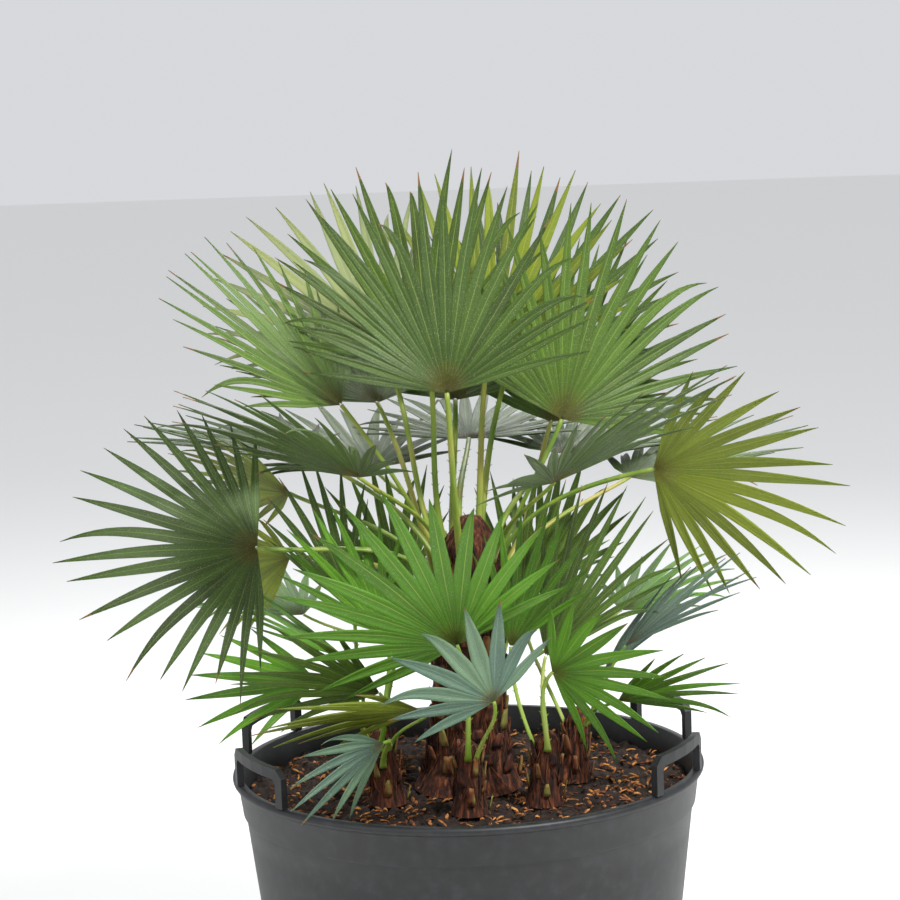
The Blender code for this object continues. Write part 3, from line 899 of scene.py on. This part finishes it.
@dataclass
class StemDressing:
    """Fibrous stems: a rough core, the stubs of old petioles in spirals and loose fibre between them."""

    rng: np.random.Generator

    def dress(
        self,
        name: str,
        stem: Stem,
        stubs: int,
        size: float,
        clear: list[np.ndarray],
        fibre: bpy.types.Material,
        cut: bpy.types.Material,
    ) -> None:
        """Builds one stem's core, stubs and fibre.

        Args:
            name: the frame node that they stand for.
            stem: its sizes.
            stubs: how many old petiole bases it carries.
            size: their width.
            clear: the feet of the living petioles.
            fibre: the fibre's material.
            cut: the stubs' material.
        """
        rises = np.array([rise for rise, _ in stem.sizes])
        radii = np.array([radius for _, radius in stem.sizes])
        top = rises[-1]
        base = np.array([*stem.centre, SOIL_TOP])
        lean = vec(stem.lean) / top
        slot = "trunk_fibre" if name == "trunk" else "sucker_sheath"

        def axis(z: np.ndarray) -> np.ndarray:
            """Gives the stem's axis at heights above the compost.

            Args:
                z: the heights.

            Returns:
                A point for each.
            """
            return base + lean * z[..., None] + np.array([0, 0, 1]) * z[..., None]

        z = np.linspace(rises[0], top, CORE_ROWS)[:, None] * np.ones((1, CORE_COLUMNS))
        a = np.linspace(0, math.tau, CORE_COLUMNS, endpoint=False)[None, :] * np.ones((CORE_ROWS, 1))
        inner = math.cos(math.pi / stem.sides)
        radius = np.interp(z, rises, radii) * inner * CORE_INSET
        counts = self.rng.integers(*CORE_RIDGES, CORE_WAVES)
        climbs, starts = (self.rng.uniform(*ends, CORE_WAVES) for ends in (CORE_WINDING, WAVE_STARTS))
        waves = sum(np.sin(a * k + z * f + p) / k**0.5 for k, f, p in zip(counts, climbs, starts))
        radius = radius * (1 - CORE_RELIEF[0] + CORE_RELIEF[1] * waves)
        radius[-1] *= CORE_TIP
        grid = axis(z) + np.stack([np.cos(a), np.sin(a), 0 * a], axis=-1) * radius[..., None]
        sheet = SheetBuilder()
        sheet.add(grid, 0.5, 0.5, closed=True)
        self.strands(sheet, axis, rises, radii * inner, stubs * STRANDS_A_STUB, size)
        Foliage.claim(sheet.build(f"{name}_core", fibre), [name], slot)
        pegs = SheetBuilder()
        for i in range(stubs):
            height = top * (STUB_RUN[0] + STUB_RUN[1] * (i + 0.5) / stubs)
            angle = i * STUB_TURN
            out = np.array([math.cos(angle), math.sin(angle), 0])
            surface = float(np.interp(height, rises, radii)) * inner
            foot = axis(np.array(height)) + out * surface * STUB_INSET
            if any(np.linalg.norm(foot - other) < FOOT_CLEAR for other in clear):
                continue
            self.stub(pegs, foot, out, size * self.rng.uniform(0.8, 1.2), self.rng.uniform(0.6, 1.1))
        if pegs.count:
            Foliage.claim(pegs.build(f"{name}_stubs", cut), [name], slot)

    def stub(
        self, sheet: SheetBuilder, foot: np.ndarray, out: np.ndarray, width: float, tall: float
    ) -> None:
        """Adds an old petiole's base: a flattened peg that rises close to the stem and ends in a torn cut.

        Args:
            sheet: where it goes.
            foot: its middle on the stem.
            out: outward from the stem.
            width: across the stem.
            tall: its height as a share of STUB_RISE.
        """
        across = np.cross([0, 0, 1], out)
        turns = np.linspace(0, math.tau, STUB_SIDES, endpoint=False)
        near, far = STUB_STANDS_OFF
        rings = []
        for share, scale in STUB_SECTION:
            centre = foot + out * (near + far * share) + np.array([0, 0, STUB_RISE * tall * share])
            # Only the torn cut is ragged: the ring at the top, less the point that closes it
            torn = STUB_RAGGED * (share > 0.9) * (scale > 0.1)
            ragged = self.rng.uniform(-torn, torn, (STUB_SIDES, 3))
            rings.append(
                centre
                + np.outer(np.cos(turns), across) * width / 2 * scale
                + np.outer(np.sin(turns), out) * width / 5 * scale
                + ragged
            )
        sheet.add(np.array(rings), self.rng.random(), self.rng.random(), closed=True)

    def strands(
        self,
        sheet: SheetBuilder,
        axis: Axis,
        rises: np.ndarray,
        radii: np.ndarray,
        count: int,
        size: float,
    ) -> None:
        """Adds loose fibre: thin three-sided threads that climb the stem at a slant.

        Args:
            sheet: where they go.
            axis: gives the stem's axis at a height.
            rises: heights of its rings.
            radii: their radii at the middle of a flat side.
            count: how many threads.
            size: the stubs' width, to which the threads' length goes.
        """
        top = rises[-1]
        for _ in range(count):
            low = self.rng.uniform(*STRAND_FOOT) * top
            tall = self.rng.uniform(*STRAND_LENGTH) * size
            z = np.linspace(low, min(low + tall, top * STRAND_TOP), STRAND_STATIONS)
            start = self.rng.uniform(0, math.tau)
            a = start + (z - low) / tall * self.rng.uniform(-STRAND_SLANT, STRAND_SLANT)
            arch = np.sin(np.linspace(0, math.pi, STRAND_STATIONS)) * self.rng.uniform(*STRAND_ARCH)
            r = np.interp(z, rises, radii) * STRAND_INSET + arch
            line = axis(z) + np.stack([np.cos(a), np.sin(a), 0 * a], axis=-1) * r[:, None]
            thick = self.rng.uniform(*STRAND_THICKNESS)
            corners = np.array([[thick, 0, 0], [-thick / 2, thick, 0], [-thick / 2, -thick, 0]])
            sheet.add(line[:, None, :] + corners[None], self.rng.random(), self.rng.random(), closed=True)


TUB_TURNS = 192
LIP_ROLL = 0.006
MOULDED_EDGE = 0.0022
COMPOST_GAP = 0.0055
COMPOST_ROWS, COMPOST_COLUMNS = 100, 240
COMPOST_WAVES = 26
# Lumps across X and Y in radians a metre, and their heights in metres
COMPOST_RATE = (-420, 420)
COMPOST_LUMPS = (0.0004, 0.0016)
COMPOST_GRIT = 0.0012
COMPOST_DROP = 0.004
COMPOST_LIMITS = (-0.006, 0.007)
CHIPS = 1300
CHIP_REACH = 0.315
CHIP_BED = 0.003
CHIP_TILT = 0.4
CHIP_LENGTH, CHIP_WIDTH, CHIP_THICKNESS = (0.004, 0.017), (0.002, 0.006), (0.0008, 0.002)
# Share of the chip's half length and of its width, ring by ring
CHIP_SECTION = ((-1, 0.3), (-0.6, 0.9), (0.1, 1.0), (1, 0.35))


def tub_radius(height: float) -> float:
    """Gives the tapered wall's outer radius.

    Args:
        height: above the floor.

    Returns:
        The radius in metres.
    """
    return TUB_FOOT_RADIUS + (TUB_RIM_RADIUS - LIP_WIDTH - TUB_FOOT_RADIUS) * height / TUB_HEIGHT


@dataclass
class Tub:
    """The nursery tub with its loop handles, and the compost with bark in it."""

    rng: np.random.Generator

    def wall(self, plastic: bpy.types.Material) -> bpy.types.Object:
        """Turns the tub from its section, smooth round its whole girth, with a rolled lip.

        Args:
            plastic: the material.

        Returns:
            The piece.
        """
        band, under_lip = TUB_HEIGHT - BAND_DROP, TUB_HEIGHT - LIP_HEIGHT
        foot, belt, neck = tub_radius(0), tub_radius(band), tub_radius(under_lip)
        section = [(0.0005, 0.0), (foot - 0.004, 0.0), (foot - 0.001, 0.0012), (tub_radius(0.004), 0.004)]
        section += [(tub_radius(z), z) for z in np.linspace(0.01, band, 12)]
        section += [(belt + 0.003, band + 0.002), (belt + BAND_STEP, band + BAND_STEP)]
        section += [(neck + BAND_STEP, under_lip - 0.001), (neck + LIP_ROLL, under_lip + 0.001)]
        centre, middle = TUB_RIM_RADIUS - LIP_ROLL, TUB_HEIGHT - LIP_HEIGHT / 2 + 0.001
        for a in np.linspace(-math.pi / 2, math.pi / 2, 9):
            section.append((centre + LIP_ROLL * math.cos(a), middle + LIP_ROLL * math.sin(a)))
        inside = tub_radius(TUB_HEIGHT) - TUB_WALL
        section += [(inside + 0.0015, TUB_HEIGHT), (inside, TUB_HEIGHT - 0.0015)]
        section += [(tub_radius(z) - TUB_WALL, z) for z in (SOIL_TOP, TUB_FLOOR)]
        lines = np.array([*section, (0.0005, TUB_FLOOR)])
        turns = np.linspace(0, math.tau, TUB_TURNS, endpoint=False)
        across, up = lines[:, :1], lines[:, 1:]
        grid = np.stack([across * np.cos(turns), across * np.sin(turns), up + 0 * turns], axis=-1)
        sheet = SheetBuilder()
        sheet.add(grid[::-1], 0.5, 0.5, closed=True)
        piece = sheet.build("tub_wall", plastic)
        Foliage.claim(piece, ["tub"], "black_plastic")
        return piece

    @staticmethod
    def handle(node: bpy.types.Object, plastic: bpy.types.Material) -> None:
        """Rounds a handle's moulded edges and gives it the tub's plastic.

        Args:
            node: the frame's handle, kept as it is.
            plastic: the material.
        """
        edge = node.modifiers.new("moulded edge", "BEVEL")
        edge.width, edge.segments, edge.limit_method = MOULDED_EDGE, 3, "ANGLE"
        node.data.materials.clear()
        node.data.materials.append(plastic)

    def compost(self, earth: bpy.types.Material) -> bpy.types.Object:
        """Makes the compost's lumpy top over its plain filling.

        Args:
            earth: the material.

        Returns:
            The piece.
        """
        rim = tub_radius(SOIL_TOP) - COMPOST_GAP
        turns = np.linspace(0, math.tau, COMPOST_COLUMNS, endpoint=False)
        radii = np.linspace(0.0008, rim, COMPOST_ROWS)[:, None]
        x, y = radii * np.cos(turns), radii * np.sin(turns)
        ranges = (COMPOST_RATE, COMPOST_RATE, WAVE_STARTS, COMPOST_LUMPS)
        draws = [self.rng.uniform(*ends, COMPOST_WAVES) for ends in ranges]
        lumps = sum(np.sin(x * fx + y * fy + start) * tall for fx, fy, start, tall in zip(*draws))
        grit = self.rng.uniform(-COMPOST_GRIT, COMPOST_GRIT, x.shape)
        z = SOIL_TOP - COMPOST_DROP + np.clip(lumps + grit, *COMPOST_LIMITS)
        sheet = SheetBuilder()
        top = np.stack([x, y, z], axis=-1)
        skirt = top[-1:].copy()
        skirt[..., :2] *= (TUB_FOOT_RADIUS - 0.008) / rim
        skirt[..., 2] = TUB_FLOOR + 0.001
        sheet.add(np.concatenate([top, skirt]), 0.5, 0.5, closed=True)
        piece = sheet.build("compost_top", earth)
        Foliage.claim(piece, ["compost"], "compost")
        return piece

    def bark(self, chips: bpy.types.Material) -> bpy.types.Object:
        """Scatters chips of bark on the compost, each a bent sliver that narrows to both ends.

        Args:
            chips: the material.

        Returns:
            The piece.
        """
        sheet = SheetBuilder()
        for _ in range(CHIPS):
            angle, reach = self.rng.uniform(0, math.tau), CHIP_REACH * math.sqrt(self.rng.uniform(0.03, 1))
            height = SOIL_TOP + self.rng.uniform(-CHIP_BED, CHIP_BED)
            at = np.array([reach * math.cos(angle), reach * math.sin(angle), height])
            turn, tilt = self.rng.uniform(0, math.tau), self.rng.uniform(-CHIP_TILT, CHIP_TILT)
            along = np.array([math.cos(turn), math.sin(turn), tilt])
            across = np.cross([0, 0, 1], along)
            long, wide = self.rng.uniform(*CHIP_LENGTH), self.rng.uniform(*CHIP_WIDTH)
            up = np.array([0, 0, 1]) * self.rng.uniform(*CHIP_THICKNESS)
            rings = []
            for share, scale in CHIP_SECTION:
                middle = at + along * long / 2 * share + up * (1 - share**2)
                half = across * wide / 2 * scale
                rings.append([middle - half, middle + up, middle + half, middle - up])
            sheet.add(np.array(rings), self.rng.random(), self.rng.random(), closed=True)
        piece = sheet.build("compost_bark", chips, smooth=False)
        Foliage.claim(piece, ["compost"], "compost")
        return piece


LEAF_DARK = 0.38
LEAF_LIGHT = (1.7, 1.5, 1.1)
TINT_SHARE = 0.6
PATCH_MM, PATCH_SHARE = 60, 0.35
VEIN_RATE, VEIN_SHARE, VEIN_DEPTH_MM = 75.0, 0.09, 0.12
RIB_HALF_WIDTH, RIB_SHARE = 0.035, 0.6
HUB_BROWN, HUB_FADE, HUB_MOST = "#7d6a2c", (-7.0, 0.75), 0.55
SPECK, SPECK_MM, SPECK_LIMIT, SPECK_SHARE = "#c9cba4", 1.4, 0.66, 0.35
DRY_TIP, DRY_START, DRY_WORN = "#9a7144", 0.925, -0.06
DRY_EDGE_MM, DRY_EDGE_WAVER = 25, 0.12
GLOW, GLOW_MIX, GLOW_SHARE = "#a8c232", 0.4, 0.18
GRAIN_TINT = 0.36
GRAIN_SPAN = (0.32, 0.72)


@dataclass(frozen=True)
class Paint:
    """One principled material and the steps that its colour and relief are built from."""

    surface: bpy.types.Material
    shader: bpy.types.Node

    @classmethod
    def start(cls, name: str, roughness: float) -> "Paint":
        """Makes a principled material with its roughness set.

        Args:
            name: of the material.
            roughness: of its surface.

        Returns:
            The paint.
        """
        surface = bpy.data.materials.new(name)
        surface.use_nodes = True
        shader = surface.node_tree.nodes["Principled BSDF"]
        shader.inputs["Roughness"].default_value = roughness
        return cls(surface, shader)

    def link(self, socket: Socket, target: Socket) -> None:
        """Joins an output to an input.

        Args:
            socket: the output.
            target: the input.
        """
        self.surface.node_tree.links.new(socket, target)

    def add(self, kind: str, inputs: dict[str | int, Input] | None = None, **settings: str) -> bpy.types.Node:
        """Adds a node.

        Args:
            kind: the node's type.
            inputs: a socket or a plain value by input name or number.
            **settings: properties of the node.

        Returns:
            The node.
        """
        node = self.surface.node_tree.nodes.new(kind)
        for key, value in settings.items():
            setattr(node, key, value)
        for key, value in (inputs or {}).items():
            if isinstance(value, Socket):
                self.link(value, node.inputs[key])
            else:
                node.inputs[key].default_value = value
        return node

    def number(self, name: str) -> Socket:
        """Reads one of the mesh's numbers.

        Args:
            name: the attribute.

        Returns:
            Its value socket.
        """
        return self.add("ShaderNodeAttribute", attribute_name=name).outputs["Fac"]

    def noise(self, size_mm: float, detail: float = 3.0, stretch: tuple[float, ...] = (1, 1, 1)) -> Socket:
        """Makes noise in object space.

        Args:
            size_mm: the pattern's real size.
            detail: octaves.
            stretch: scale by axis.

        Returns:
            The noise's value socket.
        """
        place = self.add("ShaderNodeTexCoord").outputs["Object"]
        mapped = self.add("ShaderNodeMapping", {"Vector": place, "Scale": stretch}).outputs[0]
        inputs = {"Vector": mapped, "Scale": 1000 / size_mm, "Detail": detail}
        return self.add("ShaderNodeTexNoise", inputs).outputs["Fac"]

    def ramp(self, factor: Socket, stops: Sequence[tuple[float, Colour]]) -> Socket:
        """Turns a value into a colour.

        Args:
            factor: what drives it.
            stops: positions and linear colours.

        Returns:
            The colour socket.
        """
        node = self.add("ShaderNodeValToRGB", {"Fac": factor})
        elements = node.color_ramp.elements
        while len(elements) < len(stops):
            elements.new(0.5)
        for element, (position, colour) in zip(elements, stops):
            element.position, element.color = position, colour
        return node.outputs["Color"]

    def mix(self, factor: Term, first: Input, second: Input) -> Socket:
        """Mixes two colours.

        Args:
            factor: the second one's share.
            first: a socket or a colour.
            second: a socket or a colour.

        Returns:
            The colour socket.
        """
        return self.add("ShaderNodeMix", {0: factor, 6: first, 7: second}, data_type="RGBA").outputs[2]

    def sum(self, operation: str, *terms: Term) -> Socket:
        """Works out one sum.

        Args:
            operation: its name.
            *terms: sockets or numbers.

        Returns:
            The value socket.
        """
        return self.add("ShaderNodeMath", dict(enumerate(terms)), operation=operation).outputs[0]

    def finish(self, colour: Socket, height: Socket, depth_mm: float) -> None:
        """Gives the shader its colour and small relief.

        Args:
            colour: the base colour.
            height: what drives the relief.
            depth_mm: its real depth.
        """
        self.link(colour, self.shader.inputs["Base Color"])
        bump = self.add("ShaderNodeBump", {"Height": height, "Strength": 1.0, "Distance": depth_mm / 1000})
        self.link(bump.outputs[0], self.shader.inputs["Normal"])


def paint_leaf(kind: Kind) -> bpy.types.Material:
    """Paints a waxy palm leaflet: fine ribs along it, a pale midrib, dust specks and now and then a dry tip.

    Args:
        kind: its colour.

    Returns:
        The material.
    """
    paint = Paint.start(f"palm_leaf_{kind.name.lower()}", 0.42)
    top, rib, dry = kind.value
    uv = paint.add("ShaderNodeUVMap", uv_map="leaf_uv").outputs[0]
    across, along = paint.add("ShaderNodeSeparateXYZ", {0: uv}).outputs[:2]
    tint, spray = paint.number("tint"), paint.number("spray")
    # The yellow kind's top colour is a painted sunlit highlight, and the deep kind's is partly painted shade.
    base = linear(top)
    dark = (*(c * LEAF_DARK for c in base[:3]), 1.0)
    light = (*(min(c * gain, 1) for c, gain in zip(base, LEAF_LIGHT)), 1.0)
    shares = (paint.sum("MULTIPLY", tint, TINT_SHARE), paint.sum("MULTIPLY", spray, 1 - TINT_SHARE))
    colour = paint.ramp(paint.sum("ADD", *shares), [(0.05, dark), (0.5, base), (0.95, light)])
    patch = paint.ramp(paint.noise(PATCH_MM), [(0.35, linear("#000000")), (0.7, linear("#ffffff"))])
    colour = paint.mix(paint.sum("MULTIPLY", patch, PATCH_SHARE), colour, light)
    veins = paint.sum("SINE", paint.sum("MULTIPLY", across, VEIN_RATE))
    colour = paint.mix(paint.sum("MULTIPLY_ADD", veins, VEIN_SHARE, VEIN_SHARE), colour, linear(rib))
    middle = paint.sum("ABSOLUTE", paint.sum("SUBTRACT", across, 0.5))
    stripe = paint.sum("LESS_THAN", middle, RIB_HALF_WIDTH)
    colour = paint.mix(paint.sum("MULTIPLY", stripe, RIB_SHARE), colour, linear(rib))
    near_hub = paint.sum("MAXIMUM", paint.sum("MULTIPLY_ADD", along, *HUB_FADE), 0.0)
    colour = paint.mix(paint.sum("MINIMUM", near_hub, HUB_MOST), colour, linear(HUB_BROWN))
    specks = paint.sum("GREATER_THAN", paint.noise(SPECK_MM, 1.0), SPECK_LIMIT)
    colour = paint.mix(paint.sum("MULTIPLY", specks, SPECK_SHARE), colour, linear(SPECK))
    waver = paint.sum("MULTIPLY", paint.noise(DRY_EDGE_MM), DRY_EDGE_WAVER)
    worn = paint.sum("MULTIPLY_ADD", paint.sum("LESS_THAN", tint, dry), DRY_WORN, DRY_START)
    tip = paint.sum("GREATER_THAN", paint.sum("SUBTRACT", along, waver), worn)
    colour = paint.mix(tip, colour, linear(DRY_TIP))
    paint.finish(colour, veins, VEIN_DEPTH_MM)
    glow = paint.add("ShaderNodeBsdfTranslucent", {"Color": paint.mix(GLOW_MIX, colour, linear(GLOW))})
    both = paint.add("ShaderNodeMixShader", {0: GLOW_SHARE, 1: paint.shader.outputs[0], 2: glow.outputs[0]})
    paint.link(both.outputs[0], paint.surface.node_tree.nodes["Material Output"].inputs["Surface"])
    return paint.surface


def paint_grain(
    name: str,
    roughness: float,
    stops: Sequence[str],
    size_mm: float,
    depth_mm: float,
    stretch: tuple[float, ...] = (1, 1, 1),
) -> bpy.types.Material:
    """Paints a rough natural or moulded surface whose colour and relief follow noise of one real size.

    Args:
        name: of the material.
        roughness: of its surface.
        stops: hex colours from the hollows to the heights.
        size_mm: the grain's size.
        depth_mm: the relief's depth.
        stretch: the noise's scale by axis.

    Returns:
        The material.
    """
    paint = Paint.start(name, roughness)
    grain = paint.noise(size_mm, 6.0, stretch)
    shade = paint.sum("MULTIPLY_ADD", paint.number("tint"), GRAIN_TINT, -GRAIN_TINT / 2)
    places = np.linspace(*GRAIN_SPAN, len(stops))
    colours = [(float(place), linear(code)) for place, code in zip(places, stops)]
    paint.finish(paint.ramp(paint.sum("ADD", grain, shade), colours), grain, depth_mm)
    return paint.surface


WORLD_COLOUR, WORLD_STRENGTH = "#f4f6fa", 0.75
FLOOR_COLOUR, FLOOR_SIZE = "#f2f2f0", 40
# Each light's name, place in metres, power in watts and width in metres
LIGHTS = (
    ("key", (1.7, -2.0, 3.8), 190, 0.5),
    ("fill", (-2.6, -2.0, 2.2), 25, 2.0),
    ("back", (0.5, 2.6, 3.2), 70, 1.5),
)
LIGHT_AIM = (0, 0, 0.8)
# The photograph's camera, worked out from the curve of the tub's rim; degrees and millimetres
CAMERA_PLACE = (-0.0104, -4.0, 1.59)
CAMERA_PITCH, CAMERA_ROLL = 9.0, 2.0
SENSOR_MM, LENS_MM = 36.0, 113.96


def build_studio() -> None:
    """Sets the floor, the lights and the camera at the photograph's place."""
    scene = bpy.context.scene
    world = bpy.data.worlds.new("studio")
    scene.world = world
    world.use_nodes = True
    world.node_tree.nodes["Background"].inputs[0].default_value = linear(WORLD_COLOUR)
    world.node_tree.nodes["Background"].inputs[1].default_value = WORLD_STRENGTH
    scene.view_settings.view_transform = "Standard"
    bpy.ops.mesh.primitive_plane_add(size=FLOOR_SIZE)
    floor = bpy.context.object
    floor.name = "floor"
    paint = Paint.start("pale_floor", 0.9)
    paint.shader.inputs["Base Color"].default_value = linear(FLOOR_COLOUR)
    floor.data.materials.append(paint.surface)
    for name, place, power, size in LIGHTS:
        light = bpy.data.lights.new(name, "AREA")
        light.energy, light.size = power, size
        lamp = bpy.data.objects.new(name, light)
        scene.collection.objects.link(lamp)
        lamp.location = place
        aim = Vector(LIGHT_AIM) - Vector(place)
        lamp.rotation_euler = aim.to_track_quat("-Z", "Y").to_euler()
    data = bpy.data.cameras.new("camera")
    data.sensor_width, data.lens = SENSOR_MM, LENS_MM
    camera = bpy.data.objects.new("camera", data)
    scene.collection.objects.link(camera)
    pitch, roll = math.radians(CAMERA_PITCH), math.radians(CAMERA_ROLL)
    ahead = Vector((0, math.cos(pitch), -math.sin(pitch)))
    level, up = Vector((1, 0, 0)), Vector((0, math.sin(pitch), math.cos(pitch)))
    right = level * math.cos(roll) - up * math.sin(roll)
    over = level * math.sin(roll) + up * math.cos(roll)
    turn = Matrix((right, over, -ahead)).transposed().to_4x4()
    camera.matrix_world = Matrix.Translation(CAMERA_PLACE) @ turn
    scene.camera = camera


def main() -> None:
    """Builds every piece over the frame, then the stage."""
    logging.basicConfig(level=logging.INFO)
    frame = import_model()
    rng = np.random.default_rng(SEED)
    fronds = Thicket(frame["nodes"]).grow()
    log.info("%d fronds", len(fronds))
    foliage = Foliage(fronds, rng)
    for kind in Kind:
        foliage.leaves(kind, paint_leaf(kind))
    # Smooth green leaf stalks, streaked lengthwise; the suckers' are younger
    along = (1, 1, 0.2)
    stalk = paint_grain("palm_petiole", 0.45, ["#5c7a1c", "#7f9130", "#a39a48"], 30, 0.1, along)
    young = paint_grain("young_palm_petiole", 0.42, ["#5e8a1c", "#86a53a", "#a5b257"], 30, 0.1, along)
    foliage.petioles(False, stalk)
    foliage.petioles(True, young)
    # Matted brown leaf-base fibre, and the weathered wood of old leaf stalks
    browns = ["#150904", "#35180b", "#5c2d14", "#8a5530"]
    fibre = paint_grain("palm_fibre", 0.95, browns, 5, 0.8, (1, 1, 0.15))
    woods = ["#1e0e06", "#54240f", "#7d4f28", "#7c7a36"]
    cut = paint_grain("old_petiole_base", 0.85, woods, 9, 0.5, (1, 1, 0.3))
    dressing = StemDressing(rng)
    feet = [vec(f.foot) for f in fronds]
    for name, stem in make_stems().items():
        dressing.dress(name, stem, *(TRUNK_STUBS if name == "trunk" else SUCKER_STUBS), feet, fibre, cut)
    tub = Tub(rng)
    # Polyethylene with a moulded grain, moist peat compost, and pine bark
    plastic = paint_grain("moulded_black_plastic", 0.5, ["#101113", "#17181a", "#232427"], 18, 0.05)
    tub.wall(plastic)
    for name, node in frame["nodes"].items():
        if name.startswith("tub_handle"):
            tub.handle(node, plastic)
    tub.compost(paint_grain("moist_compost", 0.95, ["#0e0805", "#22140c", "#3a2415"], 6, 1.0))
    tub.bark(paint_grain("pine_bark", 0.9, ["#2c170c", "#5f3419", "#a0632e", "#c58a4a"], 12, 0.5))
    build_studio()


if __name__ == "__main__":
    main()
